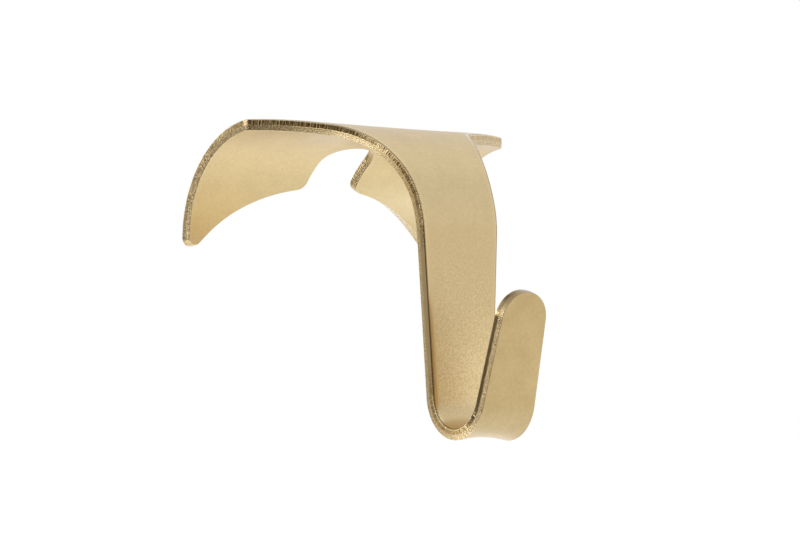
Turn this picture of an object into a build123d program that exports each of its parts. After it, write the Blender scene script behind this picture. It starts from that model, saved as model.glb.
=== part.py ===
"""Batten hook: one stamped strip of plated steel, folded three ways.

A T-shaped blank is cut flat, with a rounded lip at its narrow end and a cross-head at the other, notched
in the middle so that it ends in two claws. The head is rolled into a half-round arch that drops over the
batten, and the narrow end is turned up into a hook. Every cut edge stays square to the sheet, wherever
the fold takes it.

Frame: X runs along the batten, +Y points to the wall and +Z is up. The origin is on the arch's axis, at
the middle of the hook's width. In the flat blank, x is measured from the centre line and s along it,
upwards from the line where the shank meets the arch.
"""
from build123d import *
from math import cos, pi, radians, sin, tan
import os

# Strip
sheet = 1.6  # thickness
edge_break = 0.15  # 45 degree break along every arris, left by tumbling before the strip is plated

# Folds, from the arch down to the lip
rail_radius = 14.0  # inside radius of the arch
shank_lean = 2.9  # degrees; the shank's foot stands this far forward of upright
shank_length = 21.5  # flat run between the arch and the hook's bend
hook_radius = 3.7  # inside radius of the hook's bend
bend_bow = 0.5  # how far the strip's edges bow outwards at the middle of that bend
lip_lean = 13.0  # degrees; the lip leans this far forward of upright
lip_length = 15.25  # flat run from the bend to the lip's tip

# Blank, from the lip up to the head
lip_width = 7.4  # across the lip at its tip, before the tip is rounded
side_taper = 3.2  # degrees; each side of the strip spreads this much on its way up
flare_start = 16.5  # degrees round the arch where the sides begin to flare into the head
flare_radius = 30.0
flare_turn = 27.0  # degrees that the flare turns before the tighter shoulder
shoulder_radius = 4.4  # concave corner between the flare and the head's front edge

# Blank, cross-head; reaches are degrees round the arch from the top of the shank
head_width = 45.5  # across the front corners
head_sweep = 25.5  # degrees; the front edges sweep back this much
head_corner = 1.2
claw_width = 44.9  # across the claws' outer tips
claw_reach = 186.8
claw_tip = 1.1
hollow_width = 26.8  # across the middles of the two hollows in the rear edge
hollow_reach = 153.5
hollow_radius = 27.0
notch_width = 8.6  # between the two claws
notch_mouth_reach = 145.9  # the claws' inner corners
notch_corner = 1.5
notch_floor_reach = 110.4  # the notch's floor is fully rounded

# Construction
overrun = 0.2  # how far a cutting surface stands past what it cuts
strip_spare = 10.0  # degrees that the uncut strip runs on past the claws
least_straight = 0.3  # shortest straight left between two rounded corners
rolled_spans = 12  # spans per edge of the blank's outline when it is rolled on to the arch
bend_spans = 8  # spans that the bend is lofted over

back_radius = rail_radius + sheet
neutral_radius = rail_radius + sheet / 2
bend_radius = hook_radius + sheet / 2
shank_heading = radians(shank_lean)
lip_heading = radians(180 - lip_lean)
bend_turn = lip_heading - shank_heading
bend_top = -shank_length
bend_foot = bend_top - bend_radius * bend_turn
lip_tip = bend_foot - lip_length


def along_arch(degrees):
    """Length of strip that the given turn of the arch takes up."""
    return radians(degrees) * neutral_radius


def half_width(s):
    """Half the strip's width below the flare."""
    return lip_width / 2 + (s - lip_tip) * tan(radians(side_taper))


def running(heading):
    """Unit vector up the strip, where it runs at this angle from upright."""
    return Vector(0, sin(heading), cos(heading))


def facing(heading):
    """Unit vector square to the strip there, on the side that the arch turns outwards."""
    return Vector(0, -cos(heading), sin(heading))


def cut_back(before, corner, after, radius):
    """Length that a corner rounded to this radius takes from each of the two walls that meet there."""
    turn = (corner - before).get_angle(after - corner)
    return radius * tan(radians(turn) / 2)


def over_arch(point, radius):
    """Where a point of the flat blank lands on the rolled head, at this distance from the axis."""
    return Vector(point.X, 0, 0) + facing(shank_heading + point.Y / neutral_radius) * radius


def long_arrises(plate, heading):
    """The edges along the sides of a flat stretch of strip, not where it runs into the next stretch."""
    across = plate.faces().filter_by(Axis((0, 0, 0), running(heading))).edges()
    return plate.faces().filter_by(Axis((0, 0, 0), facing(heading))).edges() - across


def rolled_rim(blank, here, there):
    """The rolled outline at one (inset, radius), carried on a little past it, away from another."""
    with BuildLine() as rim:
        for edge in blank.wire().order_edges():
            points = []
            for step in range(rolled_spans + 1):
                place = edge @ (step / rolled_spans)
                inwards = (edge % (step / rolled_spans)).rotate(Axis.Z, 90)
                near, far = [over_arch(place + inwards * inset, radius) for inset, radius in (here, there)]
                points.append(near + (near - far).normalized() * overrun)
            Spline(*points)
    return rim.wire()


# The head's outline in the flat, up one side from just below the arch, over the claws and down the other
with BuildLine() as head_blank:
    flare_foot = along_arch(flare_start)
    side = Line((half_width(-overrun), -overrun), (half_width(flare_foot), flare_foot))
    flare = JernArc(side @ 1, side % 1, flare_radius, -flare_turn)
    shoulder = JernArc(flare @ 1, flare % 1, shoulder_radius, side_taper + flare_turn + head_sweep - 90)
    sweep_rise = (head_width / 2 - (shoulder @ 1).X) * tan(radians(head_sweep))
    corner = Vector(head_width / 2, (shoulder @ 1).Y + sweep_rise)
    claw = Vector(claw_width / 2, along_arch(claw_reach))
    hollow = Vector(hollow_width / 2, along_arch(hollow_reach))
    notch_half = notch_width / 2
    notch_floor = Vector(notch_half, along_arch(notch_floor_reach))
    mouth = Vector(notch_half, along_arch(notch_mouth_reach))
    # The hollow and the notch's floor are rounded no wider than the walls that they join have room for
    mouth_cut = cut_back(hollow, mouth, notch_floor, notch_corner)
    mouth_wall = (mouth - hollow).length - mouth_cut
    claw_wall = (claw - hollow).length - cut_back(corner, claw, hollow, claw_tip)
    hollow_room = (min(claw_wall, mouth_wall) - least_straight) / cut_back(claw, hollow, mouth, 1)
    floor_round = min(notch_half, mouth.Y - notch_floor.Y - mouth_cut - least_straight)
    FilletPolyline(
        shoulder @ 1,
        corner,
        claw,
        hollow,
        mouth,
        notch_floor + Vector(0, floor_round),
        radius=[head_corner, claw_tip, min(hollow_radius, hollow_room), notch_corner],
    )
    floor_side = notch_half - floor_round
    CenterArc((floor_side, notch_floor.Y + floor_round), floor_round, start_angle=0, arc_size=-90)
    if floor_side > 0:
        Line((floor_side, notch_floor.Y), (0, notch_floor.Y))
    mirror(about=Plane.YZ)

# The arch rolled from a strip as wide as the head, then cut along that outline square to the sheet
with BuildPart() as rolled_strip:
    with BuildSketch(Plane.YZ):
        with BuildLine():
            top_angle = 180 - shank_lean
            inner = CenterArc((0, 0), rail_radius, top_angle, -claw_reach - strip_spare)
            outer = CenterArc((0, 0), back_radius, top_angle, -claw_reach - strip_spare)
            Line(inner @ 0, outer @ 0)
            Line(inner @ 1, outer @ 1)
        make_face()
    extrude(amount=max(head_width, claw_width) / 2 + overrun, both=True)

# Each cut runs between two (inset, radius) depths: square through the sheet, then along its two arrises
cuts = [
    ((0, rail_radius), (0, back_radius)),
    ((0, back_radius - edge_break), (edge_break, back_radius)),
    ((edge_break, rail_radius), (0, rail_radius + edge_break)),
]
neck = over_arch(Vector(0, along_arch(flare_start)), neutral_radius)
head = rolled_strip.solid()
for inner, outer in cuts:
    wall = Face.make_surface_from_curves(
        rolled_rim(head_blank, inner, outer),
        rolled_rim(head_blank, outer, inner),
    )
    head = [piece for piece in head.split(wall, Keep.ALL) if piece.is_inside(neck)][0]

# Shank
shank_foot = facing(shank_heading) * neutral_radius - running(shank_heading) * shank_length
with BuildPart() as shank:
    with BuildSketch(Plane(shank_foot, x_dir=(1, 0, 0), z_dir=facing(shank_heading))):
        foot_half = half_width(bend_top)
        top_half = half_width(0)
        with BuildLine():
            Polyline(
                (foot_half, 0),
                (top_half, shank_length),
                (-top_half, shank_length),
                (-foot_half, 0),
                close=True,
            )
        make_face()
    extrude(amount=sheet / 2, both=True)
    chamfer(long_arrises(shank, shank_heading), edge_break)

# Bend: a strip folded this tight bows outwards along both edges, most at the middle of the bend
bend_axis = shank_foot + facing(shank_heading) * bend_radius
with BuildPart() as bend:
    for step in range(bend_spans + 1):
        turned = step / bend_spans
        heading = lip_heading - turned * bend_turn
        half = half_width(bend_foot + turned * (bend_top - bend_foot))
        face_half = half - edge_break / cos(radians(side_taper))
        bow = bend_bow * sin(pi * turned) ** 2
        with BuildSketch(Plane(bend_axis - facing(heading) * bend_radius, (1, 0, 0), running(heading))):
            with BuildLine():
                for lift in (-sheet / 2, sheet / 2):
                    Bezier((face_half, lift + bow), (0, lift - bow), (-face_half, lift + bow))
                for side in (-1, 1):
                    Polyline(
                        (side * face_half, bow - sheet / 2),
                        (side * half, bow - sheet / 2 + edge_break),
                        (side * half, bow + sheet / 2 - edge_break),
                        (side * face_half, bow + sheet / 2),
                    )
            make_face()
    loft()

# Lip, its end fully rounded
lip_root = bend_axis - facing(lip_heading) * bend_radius
with BuildPart() as lip:
    with BuildSketch(Plane(lip_root, x_dir=(1, 0, 0), z_dir=-facing(lip_heading))):
        root_half = half_width(bend_foot)
        round_depth = lip_width / 2 * cos(radians(side_taper))
        round_half = half_width(lip_tip + round_depth)
        with BuildLine():
            lip_side = Line((root_half, 0), (round_half, lip_length - round_depth))
            ThreePointArc(lip_side @ 1, (0, lip_length), (-round_half, lip_length - round_depth))
            Polyline((-round_half, lip_length - round_depth), (-root_half, 0), (root_half, 0))
        make_face()
    extrude(amount=sheet / 2, both=True)
    chamfer(long_arrises(lip, lip_heading), edge_break)

with BuildPart() as hook:
    add(head)
    add(shank)
    add(bend)
    add(lip)

hook.part.label = "hook"
os.makedirs("parts", exist_ok=True)
export_step(hook.part, "parts/hook.step")
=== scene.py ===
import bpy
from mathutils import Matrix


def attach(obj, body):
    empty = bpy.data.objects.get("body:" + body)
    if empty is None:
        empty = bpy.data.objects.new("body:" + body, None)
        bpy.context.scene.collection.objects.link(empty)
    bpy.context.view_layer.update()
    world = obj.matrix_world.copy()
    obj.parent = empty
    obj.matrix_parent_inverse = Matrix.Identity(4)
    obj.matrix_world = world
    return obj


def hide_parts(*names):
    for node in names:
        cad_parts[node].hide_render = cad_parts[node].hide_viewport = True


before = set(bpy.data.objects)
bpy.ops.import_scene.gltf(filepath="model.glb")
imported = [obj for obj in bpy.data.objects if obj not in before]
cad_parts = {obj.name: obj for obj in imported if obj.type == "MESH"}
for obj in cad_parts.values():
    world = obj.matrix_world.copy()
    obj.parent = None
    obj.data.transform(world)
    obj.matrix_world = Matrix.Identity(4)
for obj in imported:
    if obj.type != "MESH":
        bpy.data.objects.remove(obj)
"""Batten hook: one stamped strip of plated steel with a half-round notched head and a turned-up lip.

The strip is drawn flat, as its blank, and a Geometry Nodes tree folds it. In the blank x is across the
strip, s runs up it from the line where the shank meets the arch, and lift is the height off the middle of
the sheet, positive on the side that the arch turns outwards. Blank sizes are in millimetres.
"""
from math import ceil, cos, hypot, pi, radians, sin, tan
import bpy
from mathutils import Matrix, Vector
from mathutils.geometry import delaunay_2d_cdt
from mathutils.kdtree import KDTree

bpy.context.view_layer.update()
MM = 0.001

# Strip and folds
SHEET = 1.6
RAIL_RADIUS = 14.0
SHANK_LEAN = radians(2.9)
SHANK_LENGTH = 21.5
HOOK_RADIUS = 3.7
BEND_BOW = 0.5
LIP_LEAN = radians(13.0)
LIP_LENGTH = 15.25
NECK_SAG = 0.15

# Blank
LIP_WIDTH = 7.4
SIDE_TAPER = radians(3.2)
FLARE_START = radians(16.5)
FLARE_RADIUS = 30.0
FLARE_TURN = radians(27.0)
SHOULDER_RADIUS = 4.4
HEAD_WIDTH = 45.5
HEAD_SWEEP = radians(25.5)
HEAD_CORNER = 1.2
CLAW_WIDTH = 44.9
CLAW_REACH = radians(186.8)
CLAW_TIP = 1.1
HOLLOW_WIDTH = 26.8
HOLLOW_REACH = radians(153.5)
HOLLOW_RADIUS = 27.0
NOTCH_WIDTH = 8.6
NOTCH_MOUTH_REACH = radians(145.9)
NOTCH_CORNER = 1.5
NOTCH_FLOOR_REACH = radians(110.4)

# Cut edge: the die rolls one corner over and leaves the other nearly sharp
ROLLOVER = 0.21
ROLLOVER_REACH = 0.9
BURNISHED = 0.66
TORN_SLOPE = radians(8)
BURR_BREAK = 0.06
ROLLOVER_STEPS = 7
BAND_STEPS = 3

ARCH_RADIUS = RAIL_RADIUS + SHEET / 2
BEND_RADIUS = HOOK_RADIUS + SHEET / 2
BEND_TURN = pi - LIP_LEAN - SHANK_LEAN
BEND_FOOT = -SHANK_LENGTH - BEND_RADIUS * BEND_TURN
LIP_TIP = BEND_FOOT - LIP_LENGTH

# Fineness of the mesh: steps along the outline and over the faces, and the least gaps between points
OUTLINE_STEP = 0.3
ARC_STEPS_LEAST = 6
OUTLINE_GAP = 0.02
GRID = 0.5
RIM_GAP = GRID * 0.45
WELD = 1e-5


def half_width(s):
    """Half the strip's width below the flare."""
    return LIP_WIDTH / 2 + (s - LIP_TIP) * tan(SIDE_TAPER)


def arc(centre, radius, start, turn):
    """Points along an arc, both ends among them, each with the outward normal of an anticlockwise outline."""
    count = max(ARC_STEPS_LEAST, ceil(abs(turn) * radius / OUTLINE_STEP))
    side = 1 if turn > 0 else -1
    points = []
    for i in range(count + 1):
        at = start + turn * i / count
        out = Vector((cos(at), sin(at)))
        points.append((Vector(centre) + out * radius, out * side))
    return points


def straight(start, end):
    """Points along a straight run, with its outward normal."""
    run = end - start
    out = Vector((run.y, -run.x)).normalized()
    count = max(1, ceil(run.length / OUTLINE_STEP))
    return [(start + run * i / count, out) for i in range(count + 1)]


def onward(start, heading, radius, turn):
    """An arc that carries on from a point in a heading; a positive turn goes left."""
    side = 1 if turn > 0 else -1
    centre = start + Vector((-sin(heading), cos(heading))) * radius * side
    return arc(centre, radius, heading - side * pi / 2, turn)


def heading_of(start, end):
    """The heading of a straight run, anticlockwise from the x direction."""
    return Vector((1, 0)).angle_signed(end - start) * -1


def rounded(corners, radii):
    """A chain of straight runs whose inner corners are rounded."""
    points = []
    at = corners[0]
    for before, corner, after, radius in zip(corners, corners[1:], corners[2:], radii):
        into = heading_of(before, corner)
        turn = (heading_of(corner, after) - into + pi) % (2 * pi) - pi
        cut = abs(radius * tan(turn / 2))
        start = corner - (corner - before).normalized() * cut
        points += straight(at, start)
        points += onward(start, into, radius, turn)
        at = points[-1][0]
    return points + straight(at, corners[-1])


def blank_outline():
    """The blank's outline, anticlockwise from the middle of the lip's tip, as (point, outward normal)."""
    tip_radius = LIP_WIDTH / 2 * cos(SIDE_TAPER) / (1 - sin(SIDE_TAPER))
    right = arc(Vector((0, LIP_TIP + tip_radius)), tip_radius, -pi / 2, pi / 2 - SIDE_TAPER)
    flare_s = FLARE_START * ARCH_RADIUS
    flare_foot = Vector((half_width(flare_s), flare_s))
    right += straight(right[-1][0], flare_foot)
    heading = pi / 2 - SIDE_TAPER
    right += onward(flare_foot, heading, FLARE_RADIUS, -FLARE_TURN)
    shoulder_turn = SIDE_TAPER + FLARE_TURN + HEAD_SWEEP - pi / 2
    right += onward(right[-1][0], heading - FLARE_TURN, SHOULDER_RADIUS, shoulder_turn)
    shoulder = right[-1][0]
    corner_x = HEAD_WIDTH / 2
    floor_centre = NOTCH_FLOOR_REACH * ARCH_RADIUS + NOTCH_WIDTH / 2
    right += rounded(
        [
            shoulder,
            Vector((corner_x, shoulder.y + (corner_x - shoulder.x) * tan(HEAD_SWEEP))),
            Vector((CLAW_WIDTH / 2, CLAW_REACH * ARCH_RADIUS)),
            Vector((HOLLOW_WIDTH / 2, HOLLOW_REACH * ARCH_RADIUS)),
            Vector((NOTCH_WIDTH / 2, NOTCH_MOUTH_REACH * ARCH_RADIUS)),
            Vector((NOTCH_WIDTH / 2, floor_centre)),
        ],
        [HEAD_CORNER, CLAW_TIP, HOLLOW_RADIUS, NOTCH_CORNER],
    )
    right += arc((0, floor_centre), NOTCH_WIDTH / 2, 0, -pi / 2)
    left = [(Vector((-p.x, p.y)), Vector((-n.x, n.y))) for p, n in reversed(right)]
    outline = []
    for point, out in right + left:
        if not outline or (point - outline[-1][0]).length > OUTLINE_GAP:
            outline.append((point, out))
    if (outline[0][0] - outline[-1][0]).length < OUTLINE_GAP:
        outline.pop()
    return outline


def edge_profile():
    """The cut edge from the rolled-over face down to the other face.

    Each row is the inset from the outline, the lift, and the normal's share outwards and upwards.
    """
    burnished_top = SHEET / 2 - ROLLOVER
    torn_top = burnished_top - BURNISHED
    torn = SHEET - ROLLOVER - BURNISHED - BURR_BREAK
    torn_foot_inset = torn * tan(TORN_SLOPE)
    rows = []
    for i in range(ROLLOVER_STEPS + 1):
        at = pi / 2 * (1 - i / ROLLOVER_STEPS)
        tilt = hypot(cos(at) / ROLLOVER_REACH, sin(at) / ROLLOVER)
        outwards = cos(at) / ROLLOVER_REACH / tilt
        upwards = sin(at) / ROLLOVER / tilt
        rows.append((ROLLOVER_REACH * (1 - cos(at)), SHEET / 2 - ROLLOVER * (1 - sin(at)), outwards, upwards))
    shares = [i / BAND_STEPS for i in range(1, BAND_STEPS + 1)]
    for share in shares:
        rows.append((0.0, burnished_top - BURNISHED * share, 1.0, 0.0))
    for share in shares:
        rows.append((torn_foot_inset * share, torn_top - torn * share, cos(TORN_SLOPE), -sin(TORN_SLOPE)))
    for share in shares:
        at = -pi / 2 * share
        inset = torn_foot_inset + BURR_BREAK * (1 - cos(at))
        rows.append((inset, -SHEET / 2 + BURR_BREAK * (1 + sin(at)), cos(at), sin(at)))
    return rows


def lengths_along(outline):
    """How far round from the lip's tip each point of the outline is, and the whole length at the end."""
    along = [0.0]
    for (here, _), (there, _) in zip(outline, outline[1:] + outline[:1]):
        along.append(along[-1] + (there - here).length)
    return along


def cut_wall(outline, profile):
    """The cut edge all round the blank: its points, normals, faces and each face corner's place."""
    count = len(outline)
    along = lengths_along(outline)
    points, normals, faces, places = [], [], [], []
    for inset, lift, outwards, upwards in profile:
        for point, out in outline:
            points.append((point.x - out.x * inset, point.y - out.y * inset, lift))
            normals.append((out.x * outwards, out.y * outwards, upwards))
    for row in range(len(profile) - 1):
        top_inset, top = profile[row][:2]
        low_inset, low = profile[row + 1][:2]
        for i in range(count):
            j = (i + 1) % count
            a, b = row * count + i, row * count + j
            faces.append((a, a + count, b + count, b))
            here, there = along[i], along[i + 1]
            # The left side counts back to the lip's tip, so that both sides read the same
            if here > along[-1] / 2:
                here, there = here - along[-1], there - along[-1]
            places.append([(here, top_inset, top), (here, low_inset, low),
                           (there, low_inset, low), (there, top_inset, top)])
    return points, normals, faces, places


def flat_blank():
    """The blank as a closed flat mesh, with the attributes that the folding and the finishes read.

    The finishes read place, in millimetres. On the faces it is (x, s, lift). On the cut edge it is (along,
    inset, lift): the way round from the lip's tip, below zero on the left, then how far in from the outline.
    """
    outline = blank_outline()
    profile = edge_profile()
    count = len(outline)
    points, normals, faces, places = cut_wall(outline, profile)
    cut = [True] * len(faces)
    for row, side in ((0, 1), (len(profile) - 1, -1)):
        rim = [Vector(points[row * count + i][:2]) for i in range(count)]
        edges = [(i, (i + 1) % count) for i in range(count)]
        corners, _, triangles, origin, _, _ = delaunay_2d_cdt(rim + grid_inside(rim), edges, [], 1, WELD)
        index = {}
        lift = profile[row][1]
        for new, source in enumerate(origin):
            first = min(source) if source else None
            if first is not None and first < count:
                index[new] = row * count + first
            else:
                index[new] = len(points)
                points.append((corners[new].x, corners[new].y, lift))
                normals.append((0, 0, side))
        for triangle in triangles:
            ring = [index[v] for v in (triangle if side > 0 else reversed(triangle))]
            faces.append(tuple(ring))
            places.append([points[v] for v in ring])
            cut.append(False)
    mesh = bpy.data.meshes.new("blank")
    mesh.from_pydata([tuple(c * MM for c in p) for p in points], [], faces)
    flat = mesh.attributes.new("flat_normal", "FLOAT_VECTOR", "POINT")
    flat.data.foreach_set("vector", [c for n in normals for c in n])
    place = mesh.attributes.new("place", "FLOAT_VECTOR", "CORNER")
    place.data.foreach_set("vector", [c for ring in places for corner in ring for c in corner])
    edge = mesh.attributes.new("cut_edge", "BOOLEAN", "FACE")
    edge.data.foreach_set("value", cut)
    return mesh


def grid_inside(rim):
    """A grid of points inside an outline, clear of it by nearly half a step."""
    low = min(p.y for p in rim)
    high = max(p.y for p in rim)
    inner = []
    rows = ceil((high - low) / GRID)
    for r in range(1, rows):
        s = low + (high - low) * r / rows
        crossings = []
        for p, q in zip(rim, rim[1:] + rim[:1]):
            if (p.y > s) != (q.y > s):
                crossings.append(p.x + (q.x - p.x) * (s - p.y) / (q.y - p.y))
        crossings.sort()
        for left, right in zip(crossings[::2], crossings[1::2]):
            across = int((right - left) / GRID)
            for i in range(1, across):
                inner.append(Vector((left + (right - left) * i / across, s)))
    near = KDTree(len(rim))
    for i, p in enumerate(rim):
        near.insert((p.x, p.y, 0), i)
    near.balance()
    return [p for p in inner if near.find((p.x, p.y, 0))[2] > RIM_GAP]


def fold_tree(face_finish, edge_finish):
    """Folds a flat blank into arch, shank, bend with its edges bowed outwards, and lip.

    Returns the tree and the sizes for its inputs.
    """
    tree = bpy.data.node_groups.new("fold_strip", "GeometryNodeTree")
    tree.interface.new_socket("Geometry", in_out="INPUT", socket_type="NodeSocketGeometry")
    sizes = {
        "Arch radius": ARCH_RADIUS * MM,
        "Shank lean": SHANK_LEAN,
        "Shank length": SHANK_LENGTH * MM,
        "Bend radius": BEND_RADIUS * MM,
        "Bend turn": BEND_TURN,
        "Bend bow": BEND_BOW * MM,
        "Lip half width": LIP_WIDTH / 2 * MM,
        "Lip length": LIP_LENGTH * MM,
        "Side spread": tan(SIDE_TAPER),
        "Neck sag": NECK_SAG * MM,
        "Head half width": HEAD_WIDTH / 2 * MM,
    }
    for name in sizes:
        tree.interface.new_socket(name, in_out="INPUT", socket_type="NodeSocketFloat")
    tree.interface.new_socket("Geometry", in_out="OUTPUT", socket_type="NodeSocketGeometry")
    nodes, links = tree.nodes, tree.links
    given = nodes.new("NodeGroupInput").outputs

    def calc(operation, *values):
        node = nodes.new("ShaderNodeMath")
        node.operation = operation
        for socket, value in zip(node.inputs, values):
            if isinstance(value, (int, float)):
                socket.default_value = value
            else:
                links.new(value, socket)
        return node.outputs[0]

    def add(*values):
        total = values[0]
        for value in values[1:]:
            total = calc("ADD", total, value)
        return total

    def times(*values):
        total = values[0]
        for value in values[1:]:
            total = calc("MULTIPLY", total, value)
        return total

    def minus(a, b):
        return calc("SUBTRACT", a, b)

    def over(a, b):
        return calc("DIVIDE", a, b)

    split = nodes.new("ShaderNodeSeparateXYZ")
    links.new(nodes.new("GeometryNodeInputPosition").outputs[0], split.inputs[0])
    x, s, lift = split.outputs
    arch, bend = given["Arch radius"], given["Bend radius"]
    lean = given["Shank lean"]

    on_arch = calc("MAXIMUM", s, 0.0)
    on_shank = calc("MINIMUM", calc("MAXIMUM", s, times(given["Shank length"], -1.0)), 0.0)
    bend_length = times(bend, given["Bend turn"])
    below_shank = calc("MAXIMUM", times(add(s, given["Shank length"]), -1.0), 0.0)
    in_bend = calc("MINIMUM", below_shank, bend_length)
    on_lip = minus(in_bend, below_shank)

    arch_heading = add(lean, over(on_arch, arch))
    bend_heading = add(lean, over(in_bend, bend))
    heading = add(arch_heading, over(in_bend, bend))

    # The strip's edges bow away from the bend, by a square law across the width
    from_tip = add(s, given["Shank length"], bend_length, given["Lip length"])
    half = add(given["Lip half width"], times(from_tip, given["Side spread"]))
    swell = calc("POWER", calc("SINE", over(times(in_bend, pi), bend_length)), 2.0)
    bow_share = times(given["Bend bow"], swell)
    bowed = times(bow_share, calc("POWER", over(x, half), 2.0))
    bow_slope = over(times(bow_share, x, -2.0), times(half, half))

    # The arch dips a little between its wings
    dip_share = calc("POWER", calc("SINE", calc("MINIMUM", over(on_arch, arch), pi)), 2.0)
    across = over(x, given["Head half width"])
    remains = minus(1.0, calc("POWER", across, 2.0))
    dip = times(given["Neck sag"], dip_share, remains, remains)
    dip_slope = over(times(given["Neck sag"], dip_share, across, remains, 4.0), given["Head half width"])

    slope = add(bow_slope, dip_slope)
    tilt = calc("ARCTANGENT", slope)
    level = times(add(bowed, dip), -1.0)
    out_lift = add(level, times(lift, calc("COSINE", tilt)))
    out_x = minus(x, times(lift, calc("SINE", tilt)))

    def placed(facing, running):
        """One coordinate of a point, from the way the sheet faces and the way it runs along each part."""
        return add(
            times(arch, facing(arch_heading)),
            times(on_shank, running(lean)),
            times(bend, minus(facing(lean), facing(bend_heading))),
            times(on_lip, running(bend_heading)),
            times(out_lift, facing(heading)),
        )

    def facing_y(angle):
        return times(calc("COSINE", angle), -1.0)

    def facing_z(angle):
        return calc("SINE", angle)

    def running_y(angle):
        return calc("SINE", angle)

    def running_z(angle):
        return calc("COSINE", angle)

    position = nodes.new("ShaderNodeCombineXYZ")
    links.new(out_x, position.inputs[0])
    links.new(placed(facing_y, running_y), position.inputs[1])
    links.new(placed(facing_z, running_z), position.inputs[2])

    # The blank's normals turn with the sheet
    flat = nodes.new("GeometryNodeInputNamedAttribute")
    flat.data_type = "FLOAT_VECTOR"
    flat.inputs["Name"].default_value = "flat_normal"
    parts = nodes.new("ShaderNodeSeparateXYZ")
    links.new(flat.outputs[0], parts.inputs[0])
    nx, ns, nl = parts.outputs
    turned_x = minus(times(nx, calc("COSINE", tilt)), times(nl, calc("SINE", tilt)))
    turned_l = add(times(nx, calc("SINE", tilt)), times(nl, calc("COSINE", tilt)))
    normal = nodes.new("ShaderNodeCombineXYZ")
    links.new(turned_x, normal.inputs[0])
    links.new(add(times(ns, running_y(heading)), times(turned_l, facing_y(heading))), normal.inputs[1])
    links.new(add(times(ns, running_z(heading)), times(turned_l, facing_z(heading))), normal.inputs[2])

    # One plain mesh, with both finishes set
    store = nodes.new("GeometryNodeStoreNamedAttribute")
    store.data_type = "FLOAT_VECTOR"
    store.domain = "POINT"
    store.inputs["Name"].default_value = "folded_normal"
    links.new(given["Geometry"], store.inputs["Geometry"])
    links.new(normal.outputs[0], store.inputs["Value"])
    move = nodes.new("GeometryNodeSetPosition")
    links.new(store.outputs[0], move.inputs["Geometry"])
    links.new(position.outputs[0], move.inputs["Position"])
    realize = nodes.new("GeometryNodeRealizeInstances")
    links.new(move.outputs[0], realize.inputs[0])
    coat = nodes.new("GeometryNodeSetMaterial")
    coat.inputs["Material"].default_value = face_finish
    links.new(realize.outputs[0], coat.inputs["Geometry"])
    cut = nodes.new("GeometryNodeInputNamedAttribute")
    cut.data_type = "BOOLEAN"
    cut.inputs["Name"].default_value = "cut_edge"
    trim = nodes.new("GeometryNodeSetMaterial")
    trim.inputs["Material"].default_value = edge_finish
    links.new(cut.outputs[0], trim.inputs["Selection"])
    links.new(coat.outputs[0], trim.inputs["Geometry"])
    links.new(trim.outputs[0], nodes.new("NodeGroupOutput").inputs[0])
    return tree, sizes


def folded_hook(face_finish, edge_finish):
    """The hook as a plain mesh: the blank, folded, with the folded sheet's own normals."""
    flat = bpy.data.objects.new("blank", flat_blank())
    bpy.context.scene.collection.objects.link(flat)
    tree, sizes = fold_tree(face_finish, edge_finish)
    fold = flat.modifiers.new("fold", "NODES")
    fold.node_group = tree
    for item in tree.interface.items_tree:
        if item.in_out == "INPUT" and item.name in sizes:
            fold[item.identifier] = sizes[item.name]
    bpy.context.view_layer.update()
    folded = flat.evaluated_get(bpy.context.evaluated_depsgraph_get())
    mesh = bpy.data.meshes.new_from_object(folded)
    bpy.data.objects.remove(flat)
    normals = [Vector(v.vector).normalized() for v in mesh.attributes["folded_normal"].data]
    mesh.shade_smooth()
    mesh.normals_split_custom_set_from_vertices(normals)
    for name in ("folded_normal", "flat_normal", "cut_edge"):
        mesh.attributes.remove(mesh.attributes[name])
    mesh.name = "batten_hook"
    hook = bpy.data.objects.new("batten_hook", mesh)
    bpy.context.scene.collection.objects.link(hook)
    return hook


def finish_nodes(name):
    """A new material: its node tree and its shader."""
    material = bpy.data.materials.new(name)
    material.use_nodes = True
    return material, material.node_tree, material.node_tree.nodes["Principled BSDF"]


def wire(tree, kind, settings=None, **inputs):
    """Adds a node, sets its options and its inputs, and links the inputs that are sockets.

    An input is given by its name, with _ for a space, or by its number, as i0, i1 and so on.
    """
    node = tree.nodes.new(kind)
    for key, value in (settings or {}).items():
        setattr(node, key, value)
    for key, value in inputs.items():
        by_number = key[0] == "i" and key[1:].isdigit()
        socket = node.inputs[int(key[1:]) if by_number else key.replace("_", " ")]
        if isinstance(value, bpy.types.NodeSocket):
            tree.links.new(value, socket)
        else:
            socket.default_value = value
    return node


def noise(tree, place, scale, detail, roughness=0.5):
    """Cloudy noise from about 0 to 1; the scale is for places in millimetres."""
    node = wire(tree, "ShaderNodeTexNoise", Vector=place, Scale=scale, Detail=detail, Roughness=roughness)
    return node.outputs["Fac"]


def ranged(tree, value, start, end, to_start=0.0, to_end=1.0):
    """A value from one range laid on another, held at both ends."""
    node = wire(tree, "ShaderNodeMapRange", Value=value)
    for name, number in (("From Min", start), ("From Max", end), ("To Min", to_start), ("To Max", to_end)):
        node.inputs[name].default_value = number
    return node.outputs[0]


def blended(tree, share, low, high):
    """A colour between two, by a share."""
    node = wire(tree, "ShaderNodeMix", {"data_type": "RGBA"}, i0=share)
    for slot, colour in ((6, low), (7, high)):
        if isinstance(colour, tuple):
            node.inputs[slot].default_value = (*colour, 1)
        else:
            tree.links.new(colour, node.inputs[slot])
    return node.outputs[2]


def between(tree, share, low, high):
    """A number between two, by a share."""
    return wire(tree, "ShaderNodeMix", {"data_type": "FLOAT"}, i0=share, i2=low, i3=high).outputs[0]


def worked(tree, operation, *values):
    """One step of arithmetic."""
    inputs = {f"i{number}": value for number, value in enumerate(values)}
    return wire(tree, "ShaderNodeMath", {"operation": operation}, **inputs).outputs[0]


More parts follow.
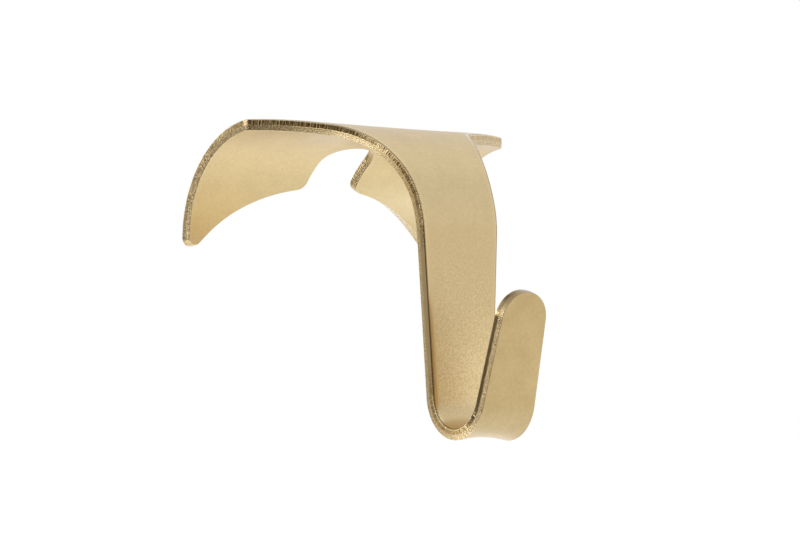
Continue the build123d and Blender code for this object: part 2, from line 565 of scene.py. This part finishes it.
def bumped(tree, shader, height):
    """Gives a shader its relief, from a height in millimetres."""
    bump = wire(tree, "ShaderNodeBump", Height=height, Strength=1.0, Distance=MM)
    tree.links.new(bump.outputs[0], shader.inputs["Normal"])


# Finish of the plated faces: colours, noise scales per millimetre, and sizes in millimetres. A pair of
# numbers is where something starts and where it is full.
PLATE_DULL = (0.71, 0.56, 0.315)
PLATE_BRIGHT = (0.81, 0.65, 0.38)
PIT_DARK = (0.66, 0.515, 0.285)
PIT_BRIGHT = (0.86, 0.70, 0.425)
CLOUD_SCALE = 0.3
GRAIN_SCALE = 2.2
GRAIN_HEIGHT = 0.012
PIT_SCALE = 3.5
PITS_DOWN_SHANK = (4.0, -15.0)
PITS_ABOVE_BEND = (-26.0, -22.0)
PLATE_ROUGHNESS = (0.40, 0.48)

# Finish of the cut edge, in the same way
SCORE_DARK = (0.43, 0.29, 0.13)
SCORE_BRIGHT = (0.80, 0.62, 0.34)
CRUMB_DARK = (0.60, 0.43, 0.21)
CRUMB_BRIGHT = (1.0, 0.85, 0.56)
SHANK_BURNISH = (0.95, 0.74, 0.42)
# Painted shade: the lip's cut edge is given darker colours, burnished and torn bands alike
LIP_BURNISH_PAINTED_SHADE = (0.46, 0.33, 0.17)
LIP_CRUMB_PAINTED_SHADE = (0.50, 0.38, 0.20)
LIP_CRUMB_SHADE_SHARE = 0.7
# The cut edge is darker towards the lip's tip
LIP_TIP_DARK = (0.46, 0.34, 0.19)
LIP_TIP_REACH = (4.5, 3.0)
ROLLED_PLATE = (0.76, 0.60, 0.345)
ROLLED_INSET = (0.05, 0.45)
PLATED_INSET = (0.3, 0.65)
# Painted highlight: a bright line along the arris
ARRIS_PAINTED_HIGHLIGHT = (1.0, 0.84, 0.52)
HIGHLIGHT_LINE_LIFT = (0.46, 0.58)
HIGHLIGHT_LINE_INSET = (0.10, 0.03)
# Painted shade: a dark line next to the face, standing in for the rolled corner's dark reflection
PAINTED_SHADE_LINE = (0.30, 0.20, 0.09)
SHADE_LINE_SHARE = 0.8
SHADE_LINE_LIFT = (0.3, 0.5)
SHADE_LINE_OUTER_INSET = (0.01, 0.05)
SHADE_LINE_INNER_INSET = (0.32, 0.14)
BROAD_SCORE_SPACING = 0.7
BROAD_SCORE_RUN = 4.0
BROAD_SCORE_HEIGHT = 0.03
FINE_SCORE_SPACING = 0.22
FINE_SCORE_RUN = 2.0
FINE_SCORE_HEIGHT = 0.065
CRUMB_SCALE = 7.0
CRUMB_HEIGHT = 0.045
SHANK_CRUMB_HEIGHT = 0.016
SMOOTHED_SCORES = 0.2
ROLLED_RELIEF = 0.1
SEAM_RISE = 0.2
SEAM_WAVER = 0.4
SEAM_WAVER_SCALE = 1.1
SEAM_SOFTNESS = 0.05
BURNISHED_ROUGHNESS = 0.17
TORN_ROUGHNESS = 0.24
SHANK_ADDED_ROUGHNESS = 0.12
ROLLED_ROUGHNESS = 0.4


def satin_brass():
    """Plated faces: a soft satin skin with faint clouding and a very fine grain, pitted on the shank."""
    material, tree, shader = finish_nodes("satin_brass")
    place = wire(tree, "ShaderNodeAttribute", {"attribute_name": "place"}).outputs["Vector"]
    clouds = noise(tree, place, CLOUD_SCALE, 3.0)
    grain = noise(tree, place, GRAIN_SCALE, 4.0, 0.7)
    speck = worked(tree, "MULTIPLY_ADD", clouds, 0.5, worked(tree, "MULTIPLY", grain, 0.5))
    tone = blended(tree, ranged(tree, speck, 0.38, 0.62), PLATE_DULL, PLATE_BRIGHT)

    # The shank is pitted, more so towards its foot
    s = wire(tree, "ShaderNodeSeparateXYZ", i0=place).outputs[1]
    on_shank = worked(tree, "MULTIPLY", ranged(tree, s, *PITS_DOWN_SHANK), ranged(tree, s, *PITS_ABOVE_BEND))
    pits = noise(tree, place, PIT_SCALE, 3.0, 0.7)
    pitted = blended(tree, ranged(tree, pits, 0.36, 0.64), PIT_DARK, PIT_BRIGHT)
    tone = blended(tree, on_shank, tone, pitted)

    tree.links.new(tone, shader.inputs["Base Color"])
    tree.links.new(ranged(tree, clouds, 0.3, 0.7, *PLATE_ROUGHNESS), shader.inputs["Roughness"])
    bumped(tree, shader, worked(tree, "MULTIPLY", grain, GRAIN_HEIGHT))
    shader.inputs["Metallic"].default_value = 1.0
    return material


def sheared_edge():
    """Cut edge: a rolled-over corner, a burnished band scored across the sheet, and a rough torn band."""
    material, tree, shader = finish_nodes("sheared_edge")
    place = wire(tree, "ShaderNodeAttribute", {"attribute_name": "place"}).outputs["Vector"]
    parts = wire(tree, "ShaderNodeSeparateXYZ", i0=place)
    # Read the same on both sides of the strip
    along = worked(tree, "ABSOLUTE", parts.outputs[0])
    inset, lift = parts.outputs[1:]

    def scores(spacing, run):
        """Lines across the sheet, a mean spacing apart, each running on for about this far."""
        stretched = wire(tree, "ShaderNodeMapping", Vector=place)
        stretched.inputs["Scale"].default_value = (1 / spacing, 0.5, 1 / run)
        return noise(tree, stretched.outputs[0], 1.0, 2.0, 0.6)

    broad = scores(BROAD_SCORE_SPACING, BROAD_SCORE_RUN)
    fine = scores(FINE_SCORE_SPACING, FINE_SCORE_RUN)
    crumb = noise(tree, place, CRUMB_SCALE, 2.0, 0.6)

    # Bands: plating rolled over the corner, then burnished metal, then torn metal past a wavering seam
    rolled = ranged(tree, inset, *ROLLED_INSET)
    plated = ranged(tree, inset, *PLATED_INSET)
    waver = noise(tree, place, SEAM_WAVER_SCALE, 3.0)
    shifted = worked(tree, "MULTIPLY_ADD", waver, SEAM_WAVER, lift)
    seam = SHEET / 2 - ROLLOVER - BURNISHED + SEAM_RISE
    torn = ranged(tree, shifted, seam + SEAM_SOFTNESS, seam - SEAM_SOFTNESS)

    # Stretches: the shank and the lip are smoother than the arch and the bend
    shank_foot = LIP_LENGTH + BEND_RADIUS * BEND_TURN
    shank_top = shank_foot + SHANK_LENGTH
    above_bend = ranged(tree, along, shank_foot + 2.0, shank_foot + 6.0)
    below_arch = ranged(tree, along, shank_top + 4.0, shank_top)
    on_shank = worked(tree, "MULTIPLY", above_bend, below_arch)
    on_lip = ranged(tree, along, LIP_LENGTH + 5.0, LIP_LENGTH + 2.0)
    on_lip_tip = ranged(tree, along, *LIP_TIP_REACH)
    smoothed = worked(tree, "MAXIMUM", on_shank, on_lip)

    burnished = blended(tree, ranged(tree, fine, 0.36, 0.5), SCORE_DARK, SCORE_BRIGHT)
    burnished = blended(tree, on_shank, burnished, SHANK_BURNISH)
    # Painted shade: the lip's burnished and torn bands are darkened
    burnished = blended(tree, on_lip, burnished, LIP_BURNISH_PAINTED_SHADE)
    crumbled = blended(tree, ranged(tree, crumb, 0.35, 0.6), CRUMB_DARK, CRUMB_BRIGHT)
    crumbled = blended(tree, worked(tree, "MULTIPLY", on_lip, LIP_CRUMB_SHADE_SHARE), crumbled, LIP_CRUMB_PAINTED_SHADE)
    cut = blended(tree, torn, burnished, crumbled)
    # Darker towards the lip's tip
    cut = blended(tree, on_lip_tip, cut, LIP_TIP_DARK)
    colour = blended(tree, rolled, cut, ROLLED_PLATE)

    # A painted highlight: a bright line along the arris, and a painted shade beside it: a dark line next to
    # the face, standing in for the rolled corner's dark reflection
    highlight_line = worked(tree, "MULTIPLY", ranged(tree, lift, *HIGHLIGHT_LINE_LIFT), ranged(tree, inset, *HIGHLIGHT_LINE_INSET))
    colour = blended(tree, highlight_line, colour, ARRIS_PAINTED_HIGHLIGHT)
    # Painted shade: the dark line next to the face
    shade_line = ranged(tree, inset, *SHADE_LINE_OUTER_INSET)
    shade_line = worked(tree, "MULTIPLY", shade_line, ranged(tree, inset, *SHADE_LINE_INNER_INSET))
    shade_line = worked(tree, "MULTIPLY", shade_line, ranged(tree, lift, *SHADE_LINE_LIFT))
    colour = blended(tree, worked(tree, "MULTIPLY", shade_line, SHADE_LINE_SHARE), colour, PAINTED_SHADE_LINE)
    tree.links.new(colour, shader.inputs["Base Color"])

    roughness = ranged(tree, torn, 0.0, 1.0, BURNISHED_ROUGHNESS, TORN_ROUGHNESS)
    roughness = worked(tree, "MULTIPLY_ADD", on_shank, SHANK_ADDED_ROUGHNESS, roughness)
    tree.links.new(between(tree, plated, roughness, ROLLED_ROUGHNESS), shader.inputs["Roughness"])

    fine_score = worked(tree, "MULTIPLY", fine, FINE_SCORE_HEIGHT)
    score = worked(tree, "MULTIPLY_ADD", broad, BROAD_SCORE_HEIGHT, fine_score)
    score = worked(tree, "MULTIPLY", score, ranged(tree, smoothed, 0.0, 1.0, 1.0, SMOOTHED_SCORES))
    crumb_height = ranged(tree, on_shank, 0.0, 1.0, CRUMB_HEIGHT, SHANK_CRUMB_HEIGHT)
    height = between(tree, torn, score, worked(tree, "MULTIPLY", crumb, crumb_height))
    relief = ranged(tree, rolled, 0.0, 1.0, 1.0, ROLLED_RELIEF)
    bumped(tree, shader, worked(tree, "MULTIPLY", height, relief))
    shader.inputs["Metallic"].default_value = 1.0
    return material


# Hook
hook = folded_hook(satin_brass(), sheared_edge())
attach(hook, "root")
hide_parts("hook")


# Floor
FLOOR_REACH = 3.0
FLOOR_HEIGHT = -0.075
FLOOR_GREY = (0.9, 0.9, 0.9, 1)
FLOOR_GLOW = 0.45


def stage_floor():
    """A wide pale floor below the hook. The hook's gloss doesn't show it, but the tent's table instead."""
    mesh = bpy.data.meshes.new("floor")
    reach, low = FLOOR_REACH, FLOOR_HEIGHT
    corners = [(-reach, -reach, low), (reach, -reach, low), (reach, reach, low), (-reach, reach, low)]
    mesh.from_pydata(corners, [], [(0, 1, 2, 3)])
    floor = bpy.data.objects.new("floor", mesh)
    bpy.context.scene.collection.objects.link(floor)
    material, _, shader = finish_nodes("pale_floor")
    shader.inputs["Base Color"].default_value = FLOOR_GREY
    shader.inputs["Roughness"].default_value = 0.9
    shader.inputs["Emission Color"].default_value = (1, 1, 1, 1)
    shader.inputs["Emission Strength"].default_value = FLOOR_GLOW
    mesh.materials.append(material)
    floor.visible_glossy = False


stage_floor()


# Lamps: two large softboxes, and small cards close to the hook that lift one shaded part each
CARD_WARM = (1.0, 0.88, 0.50)
CARD_COOL = (0.60, 0.74, 1.0)


def softbox(name, place, size, power, aim=(0, 0, 0), tint=(1, 1, 1)):
    """A rectangular lamp turned to a point, itself unseen; lengths in metres, power in watts."""
    lamp = bpy.data.lights.new(name, "AREA")
    lamp.shape = "RECTANGLE"
    lamp.size, lamp.size_y = size
    lamp.energy = power
    lamp.color = tint
    box = bpy.data.objects.new(name, lamp)
    box.location = place
    box.rotation_mode = "QUATERNION"
    box.rotation_quaternion = (Vector(aim) - Vector(place)).to_track_quat("-Z", "Y")
    box.visible_camera = False
    bpy.context.scene.collection.objects.link(box)


softbox("ceiling_softbox", (0.25, 0.1, 0.8), (0.9, 0.9), 0.7)
softbox("left_softbox", (-0.965, 0.085, 0.25), (0.75, 0.18), 1.0)
softbox("under_arch_card", (0.03, 0.014, -0.045), (0.06, 0.04), 0.0024, aim=(0.03, 0.014, 0.0))
softbox("bend_card", (0.022, -0.024, -0.020), (0.02, 0.015), 0.0006, aim=(0.0, -0.0165, -0.018))
softbox("under_bend_card", (-0.049, 0.0055, -0.041), (0.02, 0.02), 0.0005, aim=(0.0, -0.024, -0.025))
softbox("corner_card", (-0.272, 0.151, 0.080), (0.17, 0.04), 0.055, aim=(-0.0227, -0.005, 0.015))
softbox("bend_edge_card", (-0.0535, 0.013, -0.034), (0.014, 0.008), 0.0007, aim=(-0.0045, -0.020, -0.0245))
softbox(
    "right_wing_card", (0.0397, -0.007, -0.0136), (0.016, 0.016), 0.00113, aim=(0.0167, 0.0137, 0.0028),
    tint=CARD_COOL,
)
softbox(
    "wing_tip_card", (-0.0105, 0.0004, -0.0026), (0.010, 0.008), 0.000055, aim=(-0.0215, 0.0145, -0.001),
    tint=CARD_WARM,
)


# Tent, from the table below to the ceiling. TABLE_ENDS, TABLE_EDGE and WALL_MIDDLE are heights on it,
# where 0 is straight down and 1 is straight up.
TABLE_LIGHT = (0.88, 0.87, 0.815)
TABLE_EDGE_LIGHT = (0.66, 0.575, 0.42)
WALL_LIGHT = (0.92, 0.90, 0.84)
CEILING_LIGHT = (0.62, 0.64, 0.68)
TABLE_ENDS = 0.22
TABLE_EDGE = 0.36
WALL_MIDDLE = 0.55

# Patches laid over the tent
WINDOW_LIGHT = (1.15, 1.20, 1.45)
HIGH_WINDOW_LIGHT = (1.05, 1.10, 1.50)
LOW_SHEET_LIGHT = (0.62, 0.60, 0.40)
STRIP_LAMP_LIGHT = (5.0, 5.1, 5.4)
UPPER_SHEET_LIGHT = (1.08, 1.10, 1.12)
FRONT_SHEET_LIGHT = (1.00, 1.00, 1.05)
GREY_CARD_LIGHT = (0.70, 0.68, 0.66)
DARK_CARD_LIGHT = (0.30, 0.28, 0.25)
NEAR_TABLE_LIGHT = (1.20, 1.17, 1.10)
ROOM_LIGHT = (0.07, 0.05, 0.032)

# Upward shares of a direction, from -1 to 1, between which an edge of the open room or the near table fades
ROOM_FRONT_FOOT = (-0.50, -0.24)
ROOM_FRONT_TOP = (0.75, 0.35)
ROOM_BACK_FOOT = (-0.40, -0.16)
ROOM_BACK_TOP = (0.32, 0.06)
ROOM_FAR_BACK_SHARE = 0.55
NEAR_TABLE_FAR_EDGE = (-0.36, -0.50)
NEAR_TABLE_NEAR_EDGE = (-0.95, -0.75)


def studio_light():
    """A light tent with bright windows and an open dark room on the left, seen as plain white itself."""
    world = bpy.data.worlds.new("studio")
    bpy.context.scene.world = world
    world.use_nodes = True
    tree = world.node_tree
    sky = tree.nodes["Background"]
    direction = wire(tree, "ShaderNodeTexCoord").outputs["Generated"]
    height = wire(tree, "ShaderNodeSeparateXYZ", i0=direction).outputs[2]

    def band(value, start, full):
        """From 0 to 1 between two values, with a soft start and end."""
        node = wire(tree, "ShaderNodeMapRange", {"interpolation_type": "SMOOTHSTEP"}, Value=value)
        node.inputs["From Min"].default_value = start
        node.inputs["From Max"].default_value = full
        return node.outputs[0]

    def around(heading, elevation, full, fade):
        """From 1 near a direction to 0 away from it, in degrees; headings turn rightwards from the front."""
        turn, rise = radians(heading), radians(elevation)
        node = wire(tree, "ShaderNodeVectorMath", {"operation": "DOT_PRODUCT"}, i0=direction)
        node.inputs[1].default_value = (sin(turn) * cos(rise), -cos(turn) * cos(rise), sin(rise))
        return band(node.outputs["Value"], cos(radians(fade)), cos(radians(full)))

    def both(a, b):
        return worked(tree, "MULTIPLY", a, b)

    def either(a, b):
        return worked(tree, "MAXIMUM", a, b)

    def patched(light, colour, heading, elevation, full, fade, share=1.0):
        """Lays a round soft-edged patch over the light, by a share."""
        return blended(tree, both(around(heading, elevation, full, fade), share), light, colour)

    tent = wire(tree, "ShaderNodeValToRGB", Fac=ranged(tree, height, -1.0, 1.0))
    stops = tent.color_ramp.elements
    stops[0].position, stops[0].color = 0.0, (*TABLE_LIGHT, 1)
    stops[1].position, stops[1].color = 1.0, (*CEILING_LIGHT, 1)
    stops.new(TABLE_ENDS).color = (*TABLE_LIGHT, 1)
    stops.new(TABLE_EDGE).color = (*TABLE_EDGE_LIGHT, 1)
    stops.new(WALL_MIDDLE).color = (*WALL_LIGHT, 1)

    light = tent.outputs["Color"]
    light = patched(light, WINDOW_LIGHT, 135, -10, full=14, fade=44, share=0.8)
    light = patched(light, LOW_SHEET_LIGHT, 42, -28, full=10, fade=26, share=0.2)
    light = patched(light, HIGH_WINDOW_LIGHT, 132, 28, full=6, fade=18, share=0.3)
    light = patched(light, STRIP_LAMP_LIGHT, -98, -31, full=6, fade=15)
    light = patched(light, UPPER_SHEET_LIGHT, 52, 36, full=8, fade=24, share=0.35)
    light = patched(light, FRONT_SHEET_LIGHT, 40, 2, full=12, fade=34, share=0.12)
    light = patched(light, GREY_CARD_LIGHT, 90, 0, full=12, fade=32, share=0.8)
    light = patched(light, DARK_CARD_LIGHT, 172, 52, full=12, fade=30)

    # The open room on the left, between the table and the ceiling
    front_rise = both(band(height, *ROOM_FRONT_FOOT), band(height, *ROOM_FRONT_TOP))
    front_gap = both(around(-52, 0, 46, 64), front_rise)
    back_rise = both(band(height, *ROOM_BACK_FOOT), band(height, *ROOM_BACK_TOP))
    back_sides = either(around(-112, 0, 25, 34), both(around(-142, 0, 20, 36), ROOM_FAR_BACK_SHARE))
    back_gap = both(back_sides, back_rise)
    light = blended(tree, either(front_gap, back_gap), light, ROOM_LIGHT)

    near_table = both(band(height, *NEAR_TABLE_FAR_EDGE), band(height, *NEAR_TABLE_NEAR_EDGE))
    light = blended(tree, both(around(-80, 0, 60, 75), near_table), light, NEAR_TABLE_LIGHT)
    light = patched(light, ROOM_LIGHT, -10, -20, full=9, fade=15)

    seen = wire(tree, "ShaderNodeLightPath").outputs["Is Camera Ray"]
    tree.links.new(blended(tree, seen, light, (1, 1, 1)), sky.inputs["Color"])
    sky.inputs["Strength"].default_value = 1.0


studio_light()

scene = bpy.context.scene
scene.view_settings.view_transform = "Standard"


# Camera
def stand_camera(azimuth, elevation, roll, distance, slide, lens):
    """A camera that looks at the hook from a direction, then slides sideways and upwards with its view."""
    back = Vector((sin(azimuth) * cos(elevation), -cos(azimuth) * cos(elevation), sin(elevation)))
    level = Vector((cos(azimuth), sin(azimuth), 0))
    upright = back.cross(level)
    right = cos(roll) * level + sin(roll) * upright
    up = cos(roll) * upright - sin(roll) * level
    at = back * distance - right * slide[0] - up * slide[1]
    lens_data = bpy.data.cameras.new("camera")
    lens_data.sensor_width = 36
    lens_data.lens = lens
    lens_data.clip_start = 0.01
    camera = bpy.data.objects.new("camera", lens_data)
    bpy.context.scene.collection.objects.link(camera)
    turn = Matrix((right, up, back)).transposed().to_4x4()
    camera.matrix_world = Matrix.Translation(at) @ turn
    bpy.context.scene.camera = camera


stand_camera(
    azimuth=radians(-40.54),
    elevation=radians(-1.75),
    roll=radians(1.0),
    distance=0.53171,
    slide=(-0.00206, 0.00325),
    lens=177.7,
)
